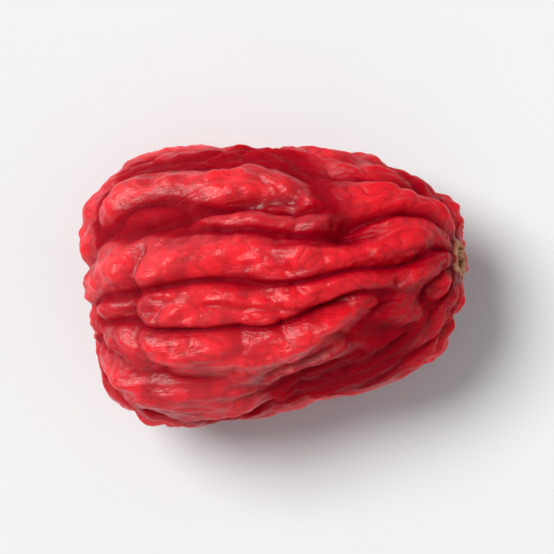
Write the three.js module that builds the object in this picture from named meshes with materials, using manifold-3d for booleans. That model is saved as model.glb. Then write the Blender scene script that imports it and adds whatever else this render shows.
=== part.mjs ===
// One dried barberry lying on its belly, in millimetres.
// +X points to the stem end, -X to the stigma end and +Z up; the berry rests on a small flat spot at z = 0.
import * as THREE from 'three';
import { mergeVertices } from 'three/addons/utils/BufferGeometryUtils.js';
import Module from 'manifold-3d';

// Driving dimensions of the plump body that the wrinkles are raised on
const LENGTH = 8.2;
const WIDTH = 5.9;
const HEIGHT = 5.2;
const AXIS_HEIGHT = 2.56; // of the middle of the berry above the flat spot
const TAPER = 0.13; // the stem end is thinner than the middle by this share, the stigma end thicker
const BOXINESS = { stigma: 3.0, stem: 2.4, blend: 0.7 }; // powers of the superellipse: 2 is round
const SAG = 0.022; // upward bend of the berry's axis, per mm
const CURL = 0.0044; // extra upward bend towards the stem end, per mm squared

// Wrinkles: seeded noise whose zero lines are creases, or crests where the depth is negative.
// along and around are the noise's cells for each mm along the berry and for each radius across it.
// depth is in mm; width and foot are a crease's half width and rounding, in the noise's units.
const FOLDS = { seed: 3105, along: 0.2, around: 3.0, shift: 0, depth: 0.35, width: 0.14, foot: 0.05 };
const CRESTS = { seed: 3106, along: 0.48, around: 5.4, shift: 8.9, depth: -0.15, width: 0.14, foot: 0.12 };
const CROSS_FOLDS = { seed: 3107, perMm: 1.05, shift: 21.7, depth: 0.12, width: 0.14, foot: 0.05 };
const DENTS = { seed: 3104, along: 0.34, around: 0.85, shift: 5.1, depth: 0.42 };
const WANDER = { seed: 3102, along: 0.3, around: 0.9, shift: 11.3, by: 0.35 }; // round the berry, in radians
const DRIFT = { seed: 3103, along: 0.35, around: 1.6, shift: 3.7, by: 1.2 }; // along the berry, in mm
const RIDGE = { steep: 0.55, broad: 0.45, reach: 0.45, most: 1.2 }; // profile of a fold
const RELIEF_MIDDLE = 0.75; // a fold is raised above this share of its depth and sunk below it
const BELLY = { smoothing: 0.8, edge: 0.72, middle: 0.97, near: 1.2, far: 2.8 }; // pressed smooth

// The deep furrows and the dimple of the upper side, as seen from above: x, y in mm
const FURROWS = [
  { from: [-3.35, 1.3], to: [0.6, 1.75], bow: 0.22, depth: 0.3, width: 0.2 },
  { from: [-2.95, 0.95], to: [-2.75, -1.75], bow: -0.45, depth: 0.26, width: 0.17 },
  { from: [-1.7, -0.45], to: [1.7, -0.75], bow: -0.1, depth: 0.26, width: 0.17 },
  { from: [-0.9, 0.55], to: [1.1, 0.65], bow: 0.15, depth: 0.12, width: 0.15 },
];
const FURROW_ROUNDING = 0.3; // of the foot of a furrow, as a share of its width
const DIMPLE = { x: 1.95, y: 0.85, depth: 0.34, width: 0.52 };
const UPPER_SIDE = { edge: 0.1, middle: 0.5 }; // where the furrows start and reach their full depth

// Both ends, by distance from the axis in mm
const STEM_SCAR = { funnel: 0.3, funnelWidth: 0.8, rim: 0.12, rimRadius: 0.34, rimWidth: 0.1 };
const STEM_STUB = { height: 0.06, width: 0.11 };
const STIGMA = { height: 0.17, inner: 0.3, outer: 0.44 };
const STIGMA_PIT = { depth: 0.13, width: 0.19 };
const STIGMA_MOAT = { depth: 0.26, radius: 0.36, width: 0.5 };
const UNEVENNESS = { seed: 3110, along: 3, around: 1.7, shift: 0, by: 0.3 }; // of the edges of both
const WRINKLES_START = 0.25; // no wrinkle nearer to the axis than this
const WRINKLES_FULL = 1.35; // full depth from here on

const FACES_PER_SIDE = 30; // of each side of the cube that the ball is blown up from
const SKIN_COLOUR = '#b0101c';

// A random whole number for each lattice cell
function latticeHash(i, j, k, seed) {
  let h = Math.imul(i, 374761393) + Math.imul(j, 668265263);
  h += Math.imul(k, 2246822519) + Math.imul(seed, 3266489917);
  h >>>= 0;
  h = Math.imul(h ^ (h >>> 15), 2246822519) >>> 0;
  h = Math.imul(h ^ (h >>> 13), 3266489917) >>> 0;
  return (h ^ (h >>> 16)) >>> 0;
}

// Gradient noise: smooth, about -0.7 to 0.7, with cells of one unit
function noise(x, y, z, seed) {
  const cell = [Math.floor(x), Math.floor(y), Math.floor(z)];
  const inside = [x - cell[0], y - cell[1], z - cell[2]];
  const fade = inside.map((t) => t * t * t * (t * (t * 6 - 15) + 10));
  let total = 0;
  for (let corner = 0; corner < 8; corner += 1) {
    const step = [(corner >> 2) & 1, (corner >> 1) & 1, corner & 1];
    const h = latticeHash(cell[0] + step[0], cell[1] + step[1], cell[2] + step[2], seed);
    let share = 1;
    let slope = 0;
    for (let axis = 0; axis < 3; axis += 1) {
      const gradient = ((h >>> (10 * axis)) & 1023) / 511.5 - 1;
      share *= step[axis] ? fade[axis] : 1 - fade[axis];
      slope += gradient * (inside[axis] - step[axis]);
    }
    total += share * slope;
  }
  return total;
}

// Noise laid round the berry, with as many cells along and around it as its kind has
function roundNoise(kind, x, y, z) {
  return noise(x * kind.along + kind.shift, y * kind.around, z * kind.around, kind.seed);
}

// Distance from 0, rounded off at its foot
function softDistance(value, rounding) {
  return Math.hypot(value, rounding) - rounding;
}

// 0 in a crease, where the noise is 0, and up to about 1 on the rounded ridge between two creases
function ridge(kind, value) {
  const away = softDistance(value, kind.foot);
  const broad = RIDGE.broad * Math.min(away / RIDGE.reach, RIDGE.most);
  return broad + RIDGE.steep * (1 - Math.exp(-away / kind.width));
}

function bell(distance, width) {
  return Math.exp(-((distance / width) ** 2));
}

// Distance in plan from a point to a bowed line
function distanceToFurrow(x, y, furrow) {
  const [fromX, fromY] = furrow.from;
  const way = [furrow.to[0] - fromX, furrow.to[1] - fromY];
  const length = Math.hypot(...way);
  const along = ((x - fromX) * way[0] + (y - fromY) * way[1]) / length;
  const t = THREE.MathUtils.clamp(along / length, 0, 1);
  const bowed = furrow.bow * 4 * t * (1 - t);
  const beside = ((y - fromY) * way[0] - (x - fromX) * way[1]) / length - bowed;
  return Math.hypot(beside, along - t * length);
}

// Lengthwise folds, the fine crests between them, cross folds and broad dents
function wrinkles(x, radius, angle, fromPole, underside) {
  const { smoothstep } = THREE.MathUtils;
  const ring = [Math.cos(angle), Math.sin(angle)];
  const onAxis = ring.map((part) => part * fromPole);
  const turned = angle + WANDER.by * roundNoise(WANDER, x, ...onAxis);
  const shifted = x + DRIFT.by * roundNoise(DRIFT, x, ...onAxis);
  const narrowing = Math.sqrt(fromPole);
  const across = [Math.cos(turned), Math.sin(turned)];
  const place = [shifted, radius * across[0], radius * across[1]];
  const cell = place.map((value) => value * CROSS_FOLDS.perMm + CROSS_FOLDS.shift);

  const folds = roundNoise(FOLDS, shifted, narrowing * across[0], narrowing * across[1]);
  const crests = roundNoise(CRESTS, shifted, narrowing * across[0], narrowing * across[1]);
  const crossFolds = noise(...cell, CROSS_FOLDS.seed);
  const dents = roundNoise(DENTS, x, narrowing * ring[0], narrowing * ring[1]);

  let relief = 0;
  for (const [kind, value] of [[FOLDS, folds], [CRESTS, crests], [CROSS_FOLDS, crossFolds]]) {
    relief += kind.depth * (ridge(kind, value) - RELIEF_MIDDLE);
  }
  const below = smoothstep(underside, BELLY.edge, BELLY.middle);
  const belly = below * (1 - smoothstep(Math.abs(x), BELLY.near, BELLY.far));
  const grown = smoothstep(radius, WRINKLES_START, WRINKLES_FULL);
  return grown * (relief * (1 - BELLY.smoothing * belly) + DENTS.depth * dents);
}

// Furrows and dimple of the upper side
function hollows(x, y, upperside) {
  let depth = DIMPLE.depth * bell(Math.hypot(x - DIMPLE.x, y - DIMPLE.y), DIMPLE.width);
  for (const furrow of FURROWS) {
    const away = softDistance(distanceToFurrow(x, y, furrow), FURROW_ROUNDING * furrow.width);
    depth += furrow.depth * Math.exp(-away / furrow.width);
  }
  return depth * THREE.MathUtils.smoothstep(upperside, UPPER_SIDE.edge, UPPER_SIDE.middle);
}

// Puckered funnel with the rim and the stub of the stem scar
function stemScar(radius) {
  const rim = STEM_SCAR.rim * bell(radius - STEM_SCAR.rimRadius, STEM_SCAR.rimWidth);
  const stub = STEM_STUB.height * bell(radius, STEM_STUB.width);
  return rim + stub - STEM_SCAR.funnel * bell(radius, STEM_SCAR.funnelWidth);
}

// Small round button with a pit, in a shallow moat
function stigma(radius) {
  const button = STIGMA.height * (1 - THREE.MathUtils.smoothstep(radius, STIGMA.inner, STIGMA.outer));
  const pit = STIGMA_PIT.depth * bell(radius, STIGMA_PIT.width);
  return button - pit - STIGMA_MOAT.depth * bell(radius - STIGMA_MOAT.radius, STIGMA_MOAT.width);
}

// Turns each cross-section with the berry's bowed axis and stands the axis at its height
function bend(point) {
  const { x, z } = point;
  const slope = Math.atan(2 * SAG * x + 3 * CURL * x * x);
  const lift = SAG * x * x + CURL * x ** 3;
  return point.set(x - z * Math.sin(slope), point.y, AXIS_HEIGHT + lift + z * Math.cos(slope));
}

// The point of the skin that lies in the direction of a unit vector from the middle of the berry
function skinPoint(direction) {
  const { smoothstep, lerp } = THREE.MathUtils;
  const u = direction.x;
  const fromPole = Math.max(Math.hypot(direction.y, direction.z), 1e-9);
  const cosine = direction.y / fromPole;
  const sine = direction.z / fromPole;
  const power = lerp(BOXINESS.stigma, BOXINESS.stem, smoothstep(u, -BOXINESS.blend, BOXINESS.blend));
  const swell = (Math.abs(u) ** power + fromPole ** power) ** (-1 / power);
  const reach = fromPole * swell * (1 - TAPER * u * swell);
  const x = (u * swell * LENGTH) / 2;
  const radius = (reach * WIDTH) / 2;
  const y = radius * cosine;
  const endRadius = radius * (1 + UNEVENNESS.by * roundNoise(UNEVENNESS, u, cosine, sine));

  let height = wrinkles(x, radius, Math.atan2(sine, cosine), fromPole, -sine);
  height -= hollows(x, y, sine);
  height += u > 0 ? stemScar(endRadius) : stigma(endRadius);
  const plump = new THREE.Vector3(x, y, (reach * HEIGHT * sine) / 2);
  return bend(plump.addScaledVector(direction, height));
}

// A closed geometry whose triangles share their vertices
function welded(geometry) {
  geometry.deleteAttribute('normal');
  geometry.deleteAttribute('uv');
  return mergeVertices(geometry, 1e-5);
}

// A cube blown up to a ball, with faces of nearly one size
function cubeBall() {
  const geometry = welded(new THREE.BoxGeometry(2, 2, 2, FACES_PER_SIDE, FACES_PER_SIDE, FACES_PER_SIDE));
  const positions = geometry.getAttribute('position');
  const point = new THREE.Vector3();
  for (let i = 0; i < positions.count; i += 1) {
    const onCube = point.fromBufferAttribute(positions, i).toArray();
    point.fromArray(onCube.map((value) => Math.tan((value * Math.PI) / 4))).normalize();
    positions.setXYZ(i, ...point);
  }
  return geometry;
}

function wrinkledBerry() {
  const geometry = cubeBall();
  const positions = geometry.getAttribute('position');
  const direction = new THREE.Vector3();
  for (let i = 0; i < positions.count; i += 1) {
    direction.fromBufferAttribute(positions, i).normalize();
    positions.setXYZ(i, ...skinPoint(direction));
  }
  geometry.computeBoundingBox();
  const middle = geometry.boundingBox.getCenter(new THREE.Vector3());
  return geometry.translate(-middle.x, -middle.y, 0);
}

const wasm = await Module();
wasm.setup();

function toSolid(geometry) {
  const vertProperties = new Float32Array(geometry.getAttribute('position').array);
  const triVerts = new Uint32Array(geometry.getIndex().array);
  return new wasm.Manifold(new wasm.Mesh({ numProp: 3, vertProperties, triVerts }));
}

function toGeometry(solid) {
  const { vertProperties, triVerts } = solid.getMesh();
  const geometry = new THREE.BufferGeometry();
  geometry.setAttribute('position', new THREE.BufferAttribute(vertProperties, 3));
  geometry.setIndex(new THREE.BufferAttribute(triVerts, 1));
  geometry.computeVertexNormals();
  return geometry;
}

// The flat spot: everything below z = 0 is cut off
function withFlatSpot(geometry) {
  const below = welded(new THREE.BoxGeometry(2 * LENGTH, 2 * WIDTH, HEIGHT).translate(0, 0, -HEIGHT / 2));
  return toGeometry(toSolid(geometry).subtract(toSolid(below)));
}

const skin = new THREE.MeshStandardMaterial({ color: SKIN_COLOUR, roughness: 0.35, metalness: 0 });
const berry = new THREE.Mesh(withFlatSpot(wrinkledBerry()), skin);
berry.name = 'barberry';

const group = new THREE.Group();
group.add(berry);

export default group;
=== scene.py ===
"""One dried barberry on a pale floor, seen from straight above in soft light.

The skin follows the formula that the solid was raised by, with a finer mesh and finer wrinkles on top.
The formula is in millimetres; the scene is in metres.
"""
import itertools
import math

import bpy
import numpy as np
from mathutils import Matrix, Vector


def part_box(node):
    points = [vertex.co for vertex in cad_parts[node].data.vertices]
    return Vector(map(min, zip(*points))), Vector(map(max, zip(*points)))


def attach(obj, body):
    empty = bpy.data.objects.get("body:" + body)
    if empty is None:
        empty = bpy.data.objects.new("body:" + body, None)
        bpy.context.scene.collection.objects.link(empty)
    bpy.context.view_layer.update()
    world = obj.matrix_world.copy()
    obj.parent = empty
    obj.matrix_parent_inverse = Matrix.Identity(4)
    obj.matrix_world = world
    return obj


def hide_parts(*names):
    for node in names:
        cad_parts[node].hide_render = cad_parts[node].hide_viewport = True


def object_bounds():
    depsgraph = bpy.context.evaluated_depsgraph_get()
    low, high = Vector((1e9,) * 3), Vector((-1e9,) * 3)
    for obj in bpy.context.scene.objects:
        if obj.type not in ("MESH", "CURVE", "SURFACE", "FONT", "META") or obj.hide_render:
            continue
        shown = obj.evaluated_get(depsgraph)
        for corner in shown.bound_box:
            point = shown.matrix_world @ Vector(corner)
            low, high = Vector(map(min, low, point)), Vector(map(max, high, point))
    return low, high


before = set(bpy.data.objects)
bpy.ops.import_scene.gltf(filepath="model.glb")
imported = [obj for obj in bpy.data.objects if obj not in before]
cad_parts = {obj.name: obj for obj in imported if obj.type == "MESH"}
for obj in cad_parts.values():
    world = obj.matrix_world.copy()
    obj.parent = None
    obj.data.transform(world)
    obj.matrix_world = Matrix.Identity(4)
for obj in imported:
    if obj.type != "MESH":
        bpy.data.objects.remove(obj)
cad_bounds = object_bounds()

NODE = "barberry"
METRES = 0.001  # one millimetre

# The plump body that the wrinkles are raised on, in mm
LENGTH = 8.2
WIDTH = 5.9
HEIGHT = 5.2
AXIS_HEIGHT = 2.56  # of the middle of the berry above the flat spot
TAPER = 0.13  # the stem end is thinner than the middle by this share, the stigma end thicker
BOXINESS = {"stigma": 3.0, "stem": 2.4, "blend": 0.7}  # powers of the superellipse: 2 is round
SAG = 0.022  # upward bend of the berry's axis, per mm
CURL = 0.0044  # extra upward bend towards the stem end, per mm squared

# Wrinkles: seeded noise whose zero lines are creases, or crests where the depth is negative.
# along and around are the noise's cells for each mm along the berry and for each radius across it,
# and per_mm is its cells for each mm every way. shift picks another stretch of the noise.
# depth is in mm; width and foot are a crease's half width and rounding, in the noise's units.
FOLDS = {"seed": 3105, "along": 0.2, "around": 3.0, "shift": 0.0, "depth": 0.35, "width": 0.14, "foot": 0.05}
CRESTS = {
    "seed": 3106, "along": 0.48, "around": 5.4, "shift": 8.9, "depth": -0.15, "width": 0.14, "foot": 0.12,
}
CROSS_FOLDS = {"seed": 3107, "per_mm": 1.05, "shift": 21.7, "depth": 0.12, "width": 0.14, "foot": 0.05}
DENTS = {"seed": 3104, "along": 0.34, "around": 0.85, "shift": 5.1, "depth": 0.42}
WANDER = {"seed": 3102, "along": 0.3, "around": 0.9, "shift": 11.3, "by": 0.35}  # round the berry, in radians
DRIFT = {"seed": 3103, "along": 0.35, "around": 1.6, "shift": 3.7, "by": 1.2}  # along the berry, in mm
RIDGE = {"steep": 0.55, "broad": 0.45, "reach": 0.45, "most": 1.2}  # profile of a fold
RELIEF_MIDDLE = 0.75  # a fold is raised above this share of its depth and sunk below it
BELLY = {"smoothing": 0.8, "edge": 0.72, "middle": 0.97, "near": 1.2, "far": 2.8}  # pressed smooth

# Finer wrinkles, which only the finer mesh can show
FINE_CRESTS = {
    "seed": 3109, "along": 0.8, "around": 11.5, "shift": 4.3, "depth": -0.06, "width": 0.14, "foot": 0.13,
}
FINE_FOLDS = {"seed": 3108, "per_mm": 3.1, "shift": 43.1, "depth": 0.035, "width": 0.14, "foot": 0.1}

# The deep furrows and the dimple of the upper side, as seen from above: x, y in mm
FURROWS = (
    {"start": (-3.35, 1.3), "end": (0.6, 1.75), "bow": 0.22, "depth": 0.3, "width": 0.2},
    {"start": (-2.95, 0.95), "end": (-2.75, -1.75), "bow": -0.45, "depth": 0.26, "width": 0.17},
    {"start": (-1.7, -0.45), "end": (1.7, -0.75), "bow": -0.1, "depth": 0.26, "width": 0.17},
    {"start": (-0.9, 0.55), "end": (1.1, 0.65), "bow": 0.15, "depth": 0.12, "width": 0.15},
)
FURROW_ROUNDING = 0.3  # of the foot of a furrow, as a share of its width
DIMPLE = {"x": 1.95, "y": 0.85, "depth": 0.34, "width": 0.52}
UPPER_SIDE = {"edge": 0.1, "middle": 0.5}  # where the furrows start and reach their full depth

# Both ends: heights, depths, widths and distances from the axis, in mm
STEM_SCAR = {"funnel": 0.3, "funnel_width": 0.8, "rim": 0.12, "rim_radius": 0.34, "rim_width": 0.1}
STEM_STUB = {"height": 0.06, "width": 0.11}
STIGMA = {"height": 0.17, "inner": 0.3, "outer": 0.44}
STIGMA_PIT = {"depth": 0.13, "width": 0.19}
STIGMA_MOAT = {"depth": 0.26, "radius": 0.36, "width": 0.5}
UNEVENNESS = {"seed": 3110, "along": 3, "around": 1.7, "shift": 0.0, "by": 0.3}  # of the edges of both
WRINKLES_START = 0.25  # no wrinkle nearer to the axis than this
WRINKLES_FULL = 1.35  # full depth from here on

FACES_PER_SIDE = 125  # of each side of the cube that the ball is blown up from

# Colours as they are displayed, from 0 to 255
COLOURS = {
    "flesh": (187, 2, 26),
    # painted light: the raised folds are lightened towards this, together with random patches of lighter tone
    "thin flesh": (249, 28, 45),
    # painted sheen: the red grows paler and pinker towards the stigma end
    "stigma end": (196, 110, 122),
    # painted shade: the red grows darker towards the stem end
    "stem end": (150, 2, 22),
    "mottle": (140, 2, 20),
    # painted shade: the creases, fine creases, furrows and dimple are darkened towards this colour
    "crease": (119, 1, 19),
    # painted shade in a ring round both ends
    "shade_collar": (98, 12, 18),
    "cork": (230, 178, 140),
    "cork fibre": (164, 98, 70),
    # painted shade in the hollow inside the stem scar's rim
    "cork hollow": (96, 48, 34),
    "cork stub": (206, 150, 114),
    "bark": (64, 34, 26),
    "bark fibre": (26, 12, 10),
    "bark rim": (108, 58, 42),
    # painted shade in the stigma's pit
    "bark pit": (18, 8, 7),
    "floor": (230, 232, 235),
    "floor patch": (224, 226, 229),
}

# Where along the berry the skin starts and stops growing paler with a painted sheen towards the stigma end
# and darker with painted shade towards the stem end, in mm from its middle towards the stigma end
PALING = (-3.2, 3.2)

# Rings of colour round the axis at both ends: radius and softness of the edge in mm, and share of cover
RINGS = {
    # a ring of painted shade round both ends
    "shade_collar": {"radius": 0.62, "soft": 0.2, "cover": 0.75},
    "scar": {"radius": 0.42, "soft": 0.05, "cover": 1.0},
    # painted shade in the scar's hollow
    "scar hollow": {"radius": 0.24, "soft": 0.05, "cover": 0.85},
    "scar stub": {"radius": 0.1, "soft": 0.05, "cover": 0.8},
    "stigma": {"radius": 0.46, "soft": 0.06, "cover": 1.0},
    "stigma rim": {"radius": 0.33, "soft": 0.04, "cover": 0.8},
    # painted shade in the pit
    "stigma pit": {"radius": 0.17, "soft": 0.06, "cover": 0.9},
}
FRAYING = 0.05  # how far the rings' edges stray, as a share of nearness to the axis

# Noises of the materials: cells to the metre, finer layers of noise, and how strong each finer layer is
TEXTURES = {
    "patches": {"per_metre": 420, "layers": 3.0, "strength": 0.5},
    "mottle": {"per_metre": 1500, "layers": 4.0, "strength": 0.6},
    "gloss": {"per_metre": 2600, "layers": 3.0, "strength": 0.6},
    "fraying": {"per_metre": 6500, "layers": 4.0, "strength": 0.75},
    "pucker": {"per_metre": 7000, "layers": 4.0, "strength": 0.65, "stretch": (0.45, 1.0, 1.0)},
    "fibres": {"per_metre": 13000, "layers": 4.0, "strength": 0.7},
    "grain": {"per_metre": 18000, "layers": 2.0, "strength": 0.5},
    "floor patches": {"per_metre": 60, "layers": 2.0, "strength": 0.5},
    "floor gloss": {"per_metre": 900, "layers": 2.0, "strength": 0.5},
}

# Bumps of the skin: strength as a share, height in mm
BUMPS = {
    "pucker": {"strength": 0.6, "height": 0.08},
    "grain": {"strength": 0.25, "height": 0.03},
    "fibres": {"strength": 0.9, "height": 0.06},
}

# Shine of the skin: how rough it is, and how much glossy coat it has towards either end
ROUGHNESS = {"glossiest": 0.28, "least_glossy": 0.48, "crease": 0.6}
COAT = {"stem_end": 0.4, "stigma_end": 0.9, "roughness": 0.3}
REFRACTION = 1.42
SPECULAR = 0.06

# Light inside the skin: how much of it comes from below, and how far it spreads
GLOW = {"flesh": 0.75, "ends": 0.1, "depth": 1.2}  # depth in mm
GLOW_BY_COLOUR = (1.0, 0.16, 0.1)  # red, green and blue light, as shares of the depth

# Floor, in m: flat round the berry, and rising gently far off so that no horizon shows behind it
FLOOR_SIZE = 1.2
FLOOR_FLAT = 0.08  # radius of the flat middle
FLOOR_RISE = 0.09
FLOOR_CELLS = 120  # on each side
FLOOR_ROUGHNESS = (0.6, 0.7)

# Camera: straight above, on a long lens, turned so that the berry lies as it does in the photo
IMAGE_SIZE = 554
BERRY_PIXELS = 385  # length of the berry in the image
BERRY_TILT = math.radians(6)  # its stem end is higher in the image
LENS = 200.0  # mm
SENSOR = 36.0  # mm

# Broad far-off lights: where they shine from, how wide they look from the berry, and their strength
LIGHTS = {
    "key": {
        "from": (-4.6, 3.9, 9.0),
        "angle": math.radians(28),
        "strength": 3.0,
        "tint": (1.0, 0.98, 0.95),
    },
    "overhead": {
        "from": (0.6, -0.5, 3.0),
        "angle": math.radians(110),
        "strength": 0.75,
        "tint": (0.96, 0.98, 1.0),
    },
}
WORLD_STRENGTH = 0.12


def lattice_hash(cell, seed):
    """A random whole number for each lattice cell."""
    i, j, k = cell.astype(np.int64).astype(np.uint32).T
    with np.errstate(over="ignore"):
        h = i * np.uint32(374761393) + j * np.uint32(668265263) + k * np.uint32(2246822519)
        h = h + np.uint32(seed) * np.uint32(3266489917)
        h = (h ^ (h >> np.uint32(15))) * np.uint32(2246822519)
        h = (h ^ (h >> np.uint32(13))) * np.uint32(3266489917)
    return h ^ (h >> np.uint32(16))


def noise(x, y, z, seed):
    """Gradient noise: smooth, about -0.7 to 0.7, with cells of one unit."""
    place = np.stack([x, y, z], 1)
    cell = np.floor(place)
    inside = place - cell
    fade = inside**3 * (inside * (inside * 6 - 15) + 10)
    total = np.zeros(len(place))
    for step in itertools.product((0, 1), repeat=3):
        h = lattice_hash(cell + step, seed)
        gradient = np.stack([(h >> np.uint32(bits)) & np.uint32(1023) for bits in (0, 10, 20)], 1) / 511.5 - 1
        share = np.prod(np.where(step, fade, 1 - fade), 1)
        total += share * (gradient * (inside - step)).sum(1)
    return total


def round_noise(kind, x, y, z):
    """Noise laid round the berry, with as many cells along and around it as its kind has."""
    return noise(x * kind["along"] + kind["shift"], y * kind["around"], z * kind["around"], kind["seed"])


def smooth_step(value, low, high):
    t = np.clip((value - low) / (high - low), 0, 1)
    return t * t * (3 - 2 * t)


def bell(distance, width):
    return np.exp(-((distance / width) ** 2))


def nearness(radius):
    """1 on the berry's axis, and falling towards 0 away from it."""
    return np.exp(-radius)


def soft_distance(value, rounding):
    """Distance from 0, rounded off at its foot."""
    return np.hypot(value, rounding) - rounding


def ridge(kind, value):
    """0 in a crease, where the noise is 0, and up to about 1 on the rounded ridge between two creases."""
    away = soft_distance(value, kind["foot"])
    broad = RIDGE["broad"] * np.minimum(away / RIDGE["reach"], RIDGE["most"])
    return broad + RIDGE["steep"] * (1 - np.exp(-away / kind["width"]))


def distance_to_furrow(x, y, furrow):
    """Distance in plan from points to a bowed line."""
    start_x, start_y = furrow["start"]
    way_x, way_y = furrow["end"][0] - start_x, furrow["end"][1] - start_y
    length = math.hypot(way_x, way_y)
    along = ((x - start_x) * way_x + (y - start_y) * way_y) / length
    t = np.clip(along / length, 0, 1)
    beside = ((y - start_y) * way_x - (x - start_x) * way_y) / length - furrow["bow"] * 4 * t * (1 - t)
    return np.hypot(beside, along - t * length)


def wrinkles(x, radius, angle, from_pole, underside):
    """Height of the wrinkles and dents, and how high each point lies on its fold and on its fine fold."""
    ring = (np.cos(angle), np.sin(angle))
    on_axis = (ring[0] * from_pole, ring[1] * from_pole)
    turned = angle + WANDER["by"] * round_noise(WANDER, x, *on_axis)
    shifted = x + DRIFT["by"] * round_noise(DRIFT, x, *on_axis)
    narrowing = np.sqrt(from_pole)
    across = (np.cos(turned), np.sin(turned))

    def lengthwise(kind):
        return ridge(kind, round_noise(kind, shifted, narrowing * across[0], narrowing * across[1]))

    def crosswise(kind):
        place = np.stack([shifted, radius * across[0], radius * across[1]])
        return ridge(kind, noise(*(place * kind["per_mm"] + kind["shift"]), kind["seed"]))

    folds = lengthwise(FOLDS)
    fine_folds = crosswise(FINE_FOLDS)
    dents = round_noise(DENTS, x, narrowing * ring[0], narrowing * ring[1])
    kinds = (FOLDS, CRESTS, CROSS_FOLDS, FINE_CRESTS, FINE_FOLDS)
    highs = (folds, lengthwise(CRESTS), crosswise(CROSS_FOLDS), lengthwise(FINE_CRESTS), fine_folds)
    relief = sum(kind["depth"] * (high - RELIEF_MIDDLE) for kind, high in zip(kinds, highs))
    below = smooth_step(underside, BELLY["edge"], BELLY["middle"])
    belly = below * (1 - smooth_step(np.abs(x), BELLY["near"], BELLY["far"]))
    grown = smooth_step(radius, WRINKLES_START, WRINKLES_FULL)
    height = grown * (relief * (1 - BELLY["smoothing"] * belly) + DENTS["depth"] * dents)
    return height, folds, fine_folds


def hollows(x, y, upperside):
    """Depth of the furrows and the dimple of the upper side."""
    depth = DIMPLE["depth"] * bell(np.hypot(x - DIMPLE["x"], y - DIMPLE["y"]), DIMPLE["width"])
    for furrow in FURROWS:
        away = soft_distance(distance_to_furrow(x, y, furrow), FURROW_ROUNDING * furrow["width"])
        depth = depth + furrow["depth"] * np.exp(-away / furrow["width"])
    return depth * smooth_step(upperside, UPPER_SIDE["edge"], UPPER_SIDE["middle"])


def stem_scar(radius):
    """Puckered funnel with the rim and the stub of the stem scar."""
    rim = STEM_SCAR["rim"] * bell(radius - STEM_SCAR["rim_radius"], STEM_SCAR["rim_width"])
    stub = STEM_STUB["height"] * bell(radius, STEM_STUB["width"])
    return rim + stub - STEM_SCAR["funnel"] * bell(radius, STEM_SCAR["funnel_width"])


def stigma(radius):
    """Small round button with a pit, in a shallow moat."""
    button = STIGMA["height"] * (1 - smooth_step(radius, STIGMA["inner"], STIGMA["outer"]))
    pit = STIGMA_PIT["depth"] * bell(radius, STIGMA_PIT["width"])
    return button - pit - STIGMA_MOAT["depth"] * bell(radius - STIGMA_MOAT["radius"], STIGMA_MOAT["width"])


def bend(x, y, z):
    """Turns each cross-section with the berry's bowed axis and stands the axis at its height."""
    slope = np.arctan(2 * SAG * x + 3 * CURL * x * x)
    lift = SAG * x * x + CURL * x**3
    return np.stack([x - z * np.sin(slope), y, AXIS_HEIGHT + lift + z * np.cos(slope)], 1)


def skin(directions):
    """Points of the skin in mm for unit vectors from the middle of the berry, and what its colours follow."""
    u = directions[:, 0]
    from_pole = np.maximum(np.hypot(directions[:, 1], directions[:, 2]), 1e-9)
    cosine, sine = directions[:, 1] / from_pole, directions[:, 2] / from_pole
    towards_stem = smooth_step(u, -BOXINESS["blend"], BOXINESS["blend"])
    power = BOXINESS["stigma"] + (BOXINESS["stem"] - BOXINESS["stigma"]) * towards_stem
    swell = (np.abs(u) ** power + from_pole**power) ** (-1 / power)
    reach = from_pole * swell * (1 - TAPER * u * swell)
    x = u * swell * LENGTH / 2
    radius = reach * WIDTH / 2
    y = radius * cosine
    end_radius = radius * (1 + UNEVENNESS["by"] * round_noise(UNEVENNESS, u, cosine, sine))

    height, folds, fine_folds = wrinkles(x, radius, np.arctan2(sine, cosine), from_pole, -sine)
    hollow = hollows(x, y, sine)
    at_stem = u > 0
    height = height - hollow + np.where(at_stem, stem_scar(end_radius), stigma(end_radius))
    plump = np.stack([x, y, reach * HEIGHT * sine / 2], 1)
    points = bend(*(plump + directions * height[:, None]).T)
    traits = {
        "fold": folds,
        "fine_fold": fine_folds,
        "hollow": hollow / DIMPLE["depth"],
        "towards_stigma": smooth_step(-x, *PALING),
        "stem_end": np.where(at_stem, nearness(end_radius), 0),
        "stigma_end": np.where(at_stem, 0, nearness(end_radius)),
    }
    return points, traits


def cube_ball(count):
    """Unit vectors and quads of a cube blown up to a ball."""
    steps = np.tan(np.linspace(-1, 1, count + 1) * math.pi / 4)
    a, b = np.meshgrid(steps, steps, indexing="ij")
    i, j = np.meshgrid(np.arange(count), np.arange(count), indexing="ij")
    corner = (i * (count + 1) + j).ravel()
    quad = np.stack([corner, corner + count + 1, corner + count + 2, corner + 1], 1)
    points, quads = [], []
    for number, (axis, side) in enumerate(itertools.product(range(3), (-1, 1))):
        sheet = np.zeros((a.size, 3))
        sheet[:, axis] = side
        sheet[:, (axis + 1) % 3] = a.ravel()
        sheet[:, (axis + 2) % 3] = b.ravel()
        points.append(sheet)
        quads.append(number * a.size + (quad if side > 0 else quad[:, ::-1]))
    merged, where = np.unique(np.round(np.concatenate(points), 9), axis=0, return_inverse=True)
    return merged / np.linalg.norm(merged, axis=1)[:, None], where.reshape(-1)[np.concatenate(quads)]


def into_box(points, box):
    """Moves and scales points by a hair, so that they fill the box of the solid and lie flat on its floor."""
    low, high = (np.array(corner) for corner in box)
    points = points * METRES
    points[:, 2] = np.maximum(points[:, 2], 0)
    span = points.max(0) - points.min(0)
    return low + (points - points.min(0)) * (high - low) / span


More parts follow.
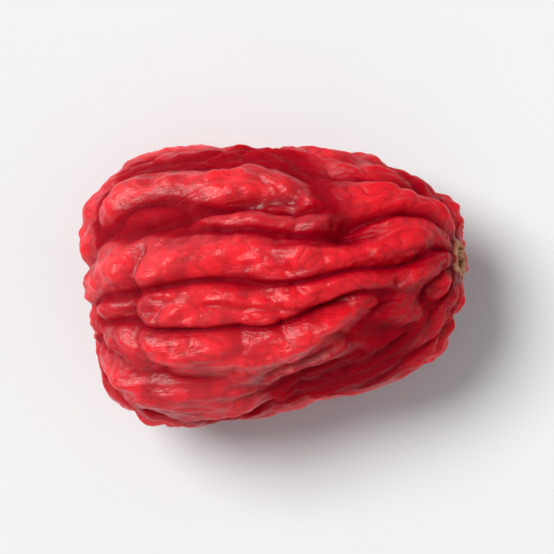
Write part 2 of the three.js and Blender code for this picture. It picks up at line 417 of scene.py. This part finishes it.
def make_berry():
    """The finely wrinkled berry, which is shown in place of the plain solid."""
    directions, quads = cube_ball(FACES_PER_SIDE)
    points, traits = skin(directions)
    mesh = bpy.data.meshes.new("wrinkled_berry")
    mesh.from_pydata(into_box(points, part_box(NODE)).tolist(), [], quads.tolist())
    mesh.shade_smooth()
    for name, values in traits.items():
        attribute = mesh.attributes.new(name, "FLOAT", "POINT")
        attribute.data.foreach_set("value", values.astype(np.float32))
    mesh.materials.append(skin_material())
    berry = bpy.data.objects.new("wrinkled_berry", mesh)
    bpy.context.scene.collection.objects.link(berry)
    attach(berry, "root")
    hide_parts(NODE)


class Nodes:
    """Short ways to add and join the nodes of one material."""

    def __init__(self, name):
        self.material = bpy.data.materials.new(name)
        self.material.use_nodes = True
        self.tree = self.material.node_tree
        self.shader = self.tree.nodes["Principled BSDF"]

    def add(self, kind, inputs=None, **settings):
        node = self.tree.nodes.new(kind)
        for name, value in settings.items():
            setattr(node, name, value)
        for name, value in (inputs or {}).items():
            self.feed(node.inputs[name], value)
        return node

    def feed(self, socket, value):
        if isinstance(value, bpy.types.NodeSocket):
            self.tree.links.new(value, socket)
        else:
            socket.default_value = value

    def trait(self, name):
        return self.add("ShaderNodeAttribute", attribute_name=name).outputs["Fac"]

    def noise(self, name):
        """One of the named noises, fixed to the object."""
        texture = TEXTURES[name]
        place = self.add("ShaderNodeTexCoord").outputs["Object"]
        if "stretch" in texture:
            stretched = self.add("ShaderNodeMapping", {"Vector": place, "Scale": texture["stretch"]})
            place = stretched.outputs["Vector"]
        inputs = {
            "Vector": place,
            "Scale": texture["per_metre"],
            "Detail": texture["layers"],
            "Roughness": texture["strength"],
        }
        return self.add("ShaderNodeTexNoise", inputs).outputs["Fac"]

    def fit(self, value, low, high, to_low=0.0, to_high=1.0):
        """A smooth step from to_low, where the value is low or less, to to_high, where it is high or more."""
        inputs = {"Value": value, "From Min": low, "From Max": high, "To Min": to_low, "To Max": to_high}
        return self.add("ShaderNodeMapRange", inputs, interpolation_type="SMOOTHSTEP").outputs["Result"]

    def within(self, near, name):
        """The cover of a ring where the nearness to the axis puts a point inside it, and 0 elsewhere."""
        ring = RINGS[name]
        outside = nearness(ring["radius"] + ring["soft"])
        inside = nearness(ring["radius"] - ring["soft"])
        return self.fit(near, outside, inside, 0.0, ring["cover"])

    def combine(self, operation, first, second):
        node = self.add("ShaderNodeMath", operation=operation)
        self.feed(node.inputs[0], first)
        self.feed(node.inputs[1], second)
        return node.outputs["Value"]

    def plus(self, first, second):
        return self.combine("ADD", first, second)

    def times(self, first, second):
        return self.combine("MULTIPLY", first, second)

    def larger(self, first, second):
        return self.combine("MAXIMUM", first, second)

    def mix(self, share, first, second):
        """The first colour, with a share of the second one over it."""
        node = self.add("ShaderNodeMix", {"Factor": share}, data_type="RGBA")
        self.feed(node.inputs["A"], first)
        self.feed(node.inputs["B"], second)
        return node.outputs["Result"]

    def bump(self, height, strength, most, below=None):
        """The normals below, roughened by a height of at most so many mm."""
        inputs = {"Height": height, "Strength": strength, "Distance": most * METRES}
        node = self.add("ShaderNodeBump", inputs)
        if below is not None:
            self.feed(node.inputs["Normal"], below)
        return node.outputs["Normal"]


def colour(name):
    """A named colour as the linear light that shaders use."""
    shares = [channel / 255 for channel in COLOURS[name]]
    linear = [share / 12.92 if share <= 0.04045 else ((share + 0.055) / 1.055) ** 2.4 for share in shares]
    return (*linear, 1.0)


def flesh_colour(n, crease, near_ends):
    """Bright red on the folds, lighter there with painted light, and maroon with painted shade in the
    creases, the furrows, the dimple and a ring round both ends; paler with a painted sheen towards the stigma
    end and darker with painted shade towards the stem end.
    """
    patches = n.noise("patches")
    mottle = n.noise("mottle")
    towards_stigma = n.trait("towards_stigma")
    # painted light on the raised folds, mixed with random patches of lighter tone
    thin = n.plus(n.times(n.trait("fold"), 0.6), n.times(patches, 0.9))
    red = n.mix(n.fit(thin, 0.5, 1.02), colour("flesh"), colour("thin flesh"))
    # painted sheen towards the stigma end
    red = n.mix(n.fit(towards_stigma, 0.6, 1.0, 0.0, 0.05), red, colour("stigma end"))
    # painted shade towards the stem end
    red = n.mix(n.fit(towards_stigma, 0.0, 0.5, 0.25, 0.0), red, colour("stem end"))
    red = n.mix(n.fit(mottle, 0.42, 0.72, 0.0, 0.5), red, colour("mottle"))

    # painted shade in the creases, patchy where the mottle runs
    crease_shade = n.times(crease, n.fit(mottle, 0.35, 0.65, 1.0, 0.6))
    # painted shade in the fine creases
    fine_crease_shade = n.fit(n.trait("fine_fold"), 0.03, 0.4, 0.27, 0.0)
    # painted shade in the furrows and the dimple, as deep as they sink
    hollow = n.fit(n.trait("hollow"), 0.35, 1.0, 0.0, 0.55)
    # the deepest of the painted shades darkens the red towards the crease colour
    dark = n.larger(n.larger(crease_shade, fine_crease_shade), hollow)
    red = n.mix(dark, red, colour("crease"))
    # painted shade in a ring round both ends
    return n.mix(n.within(near_ends, "shade_collar"), red, colour("shade_collar"))


def scar_colour(n, near, fibres):
    """Cork: a pale rim, painted shade in the darker hollow inside it, and the pale stub in the middle."""
    cork = n.mix(n.fit(fibres, 0.35, 0.65), colour("cork"), colour("cork fibre"))
    # painted shade in the hollow inside the rim
    cork = n.mix(n.within(near, "scar hollow"), cork, colour("cork hollow"))
    return n.mix(n.within(near, "scar stub"), cork, colour("cork stub"))


def stigma_colour(n, near, fibres):
    """Bark: a dark wall, a brown rim and a nearly black pit of painted shade."""
    bark = n.mix(n.fit(fibres, 0.35, 0.65), colour("bark"), colour("bark fibre"))
    bark = n.mix(n.within(near, "stigma rim"), bark, colour("bark rim"))
    # painted shade in the pit
    return n.mix(n.within(near, "stigma pit"), bark, colour("bark pit"))


def add_shine(n, crease, ends):
    """A glossy coat on the folds, which the creases and both ends lack."""
    inputs = n.shader.inputs
    dull = n.larger(ends, crease)
    gloss = n.fit(n.noise("gloss"), 0.35, 0.68, ROUGHNESS["glossiest"], ROUGHNESS["least_glossy"])
    n.feed(inputs["Roughness"], n.larger(gloss, n.times(dull, ROUGHNESS["crease"])))
    coat = n.fit(n.trait("towards_stigma"), 0.0, 0.5, COAT["stem_end"], COAT["stigma_end"])
    n.feed(inputs["Coat Weight"], n.times(coat, n.fit(dull, 0.0, 0.4, 1.0, 0.0)))
    inputs["Coat Roughness"].default_value = COAT["roughness"]
    inputs["IOR"].default_value = REFRACTION
    inputs["Specular IOR Level"].default_value = SPECULAR


def add_glow(n, ends):
    """Light that enters the flesh and comes out again red, and hardly at both ends."""
    inputs = n.shader.inputs
    n.feed(inputs["Subsurface Weight"], n.fit(ends, 0.0, 0.6, GLOW["flesh"], GLOW["ends"]))
    inputs["Subsurface Radius"].default_value = GLOW_BY_COLOUR
    inputs["Subsurface Scale"].default_value = GLOW["depth"] * METRES


def add_bumps(n, fibres, ends):
    """Puckers and grain all over, and fibres at both ends."""
    pucker, grain, end_fibres = BUMPS["pucker"], BUMPS["grain"], BUMPS["fibres"]
    normal = n.bump(n.noise("pucker"), pucker["strength"], pucker["height"])
    normal = n.bump(n.noise("grain"), grain["strength"], grain["height"], below=normal)
    normal = n.bump(fibres, n.times(ends, end_fibres["strength"]), end_fibres["height"], below=normal)
    n.feed(n.shader.inputs["Normal"], normal)
    n.feed(n.shader.inputs["Coat Normal"], normal)


def skin_material():
    """Translucent dried skin, with the cork of the stem scar and the bark of the stigma."""
    n = Nodes("dried_skin")
    # where the folds sink into creases: painted shade in the colour there, and a duller finish
    crease = n.fit(n.trait("fold"), 0.03, 0.32, 0.75, 0.0)
    fibres = n.noise("fibres")
    frayed = n.fit(n.noise("fraying"), 0.3, 0.7, -FRAYING, FRAYING)
    near_stem = n.plus(n.trait("stem_end"), frayed)
    near_stigma = n.plus(n.trait("stigma_end"), frayed)
    scar = n.within(near_stem, "scar")
    button = n.within(near_stigma, "stigma")
    ends = n.larger(scar, button)

    base = flesh_colour(n, crease, n.larger(near_stem, near_stigma))
    base = n.mix(scar, base, scar_colour(n, near_stem, fibres))
    base = n.mix(button, base, stigma_colour(n, near_stigma, fibres))
    n.feed(n.shader.inputs["Base Color"], base)
    add_shine(n, crease, ends)
    add_glow(n, ends)
    add_bumps(n, fibres, ends)
    return n.material


def floor_material():
    n = Nodes("pale_floor")
    shade = n.mix(n.noise("floor patches"), colour("floor"), colour("floor patch"))
    n.feed(n.shader.inputs["Base Color"], shade)
    n.feed(n.shader.inputs["Roughness"], n.fit(n.noise("floor gloss"), 0.3, 0.7, *FLOOR_ROUGHNESS))
    return n.material


def make_floor():
    bpy.ops.mesh.primitive_grid_add(x_subdivisions=FLOOR_CELLS, y_subdivisions=FLOOR_CELLS, size=FLOOR_SIZE)
    floor = bpy.context.object
    floor.name = "pale_floor"
    for vertex in floor.data.vertices:
        vertex.co.z = FLOOR_RISE * smooth_step(vertex.co.xy.length, FLOOR_FLAT, FLOOR_SIZE / 2)
    floor.data.shade_smooth()
    floor.data.materials.append(floor_material())


def make_lights(middle):
    for name, light in LIGHTS.items():
        data = bpy.data.lights.new(name, "SUN")
        data.angle = light["angle"]
        data.energy = light["strength"]
        data.color = light["tint"]
        lamp = bpy.data.objects.new(name, data)
        lamp.location = middle + Vector(light["from"]) * METRES
        lamp.rotation_euler = (middle - lamp.location).to_track_quat("-Z", "Y").to_euler()
        bpy.context.scene.collection.objects.link(lamp)
    world = bpy.data.worlds.new("soft_white")
    world.use_nodes = True
    background = world.node_tree.nodes["Background"]
    background.inputs["Color"].default_value = (1, 1, 1, 1)
    background.inputs["Strength"].default_value = WORLD_STRENGTH
    bpy.context.scene.world = world


def make_camera(middle, length):
    data = bpy.data.cameras.new("camera")
    data.lens = LENS
    data.sensor_width = SENSOR
    width_seen = length * IMAGE_SIZE / BERRY_PIXELS
    distance = width_seen * LENS / SENSOR
    data.clip_start = distance / 100
    data.clip_end = distance * 100
    camera = bpy.data.objects.new("camera", data)
    camera.location = middle + Vector((0, 0, distance))
    camera.rotation_euler = (0, 0, -BERRY_TILT)
    bpy.context.scene.collection.objects.link(camera)
    bpy.context.scene.camera = camera


low, high = cad_bounds
middle = (low + high) / 2
make_berry()
make_floor()
make_lights(middle)
make_camera(middle, high.x - low.x)
bpy.context.scene.view_settings.view_transform = "Standard"
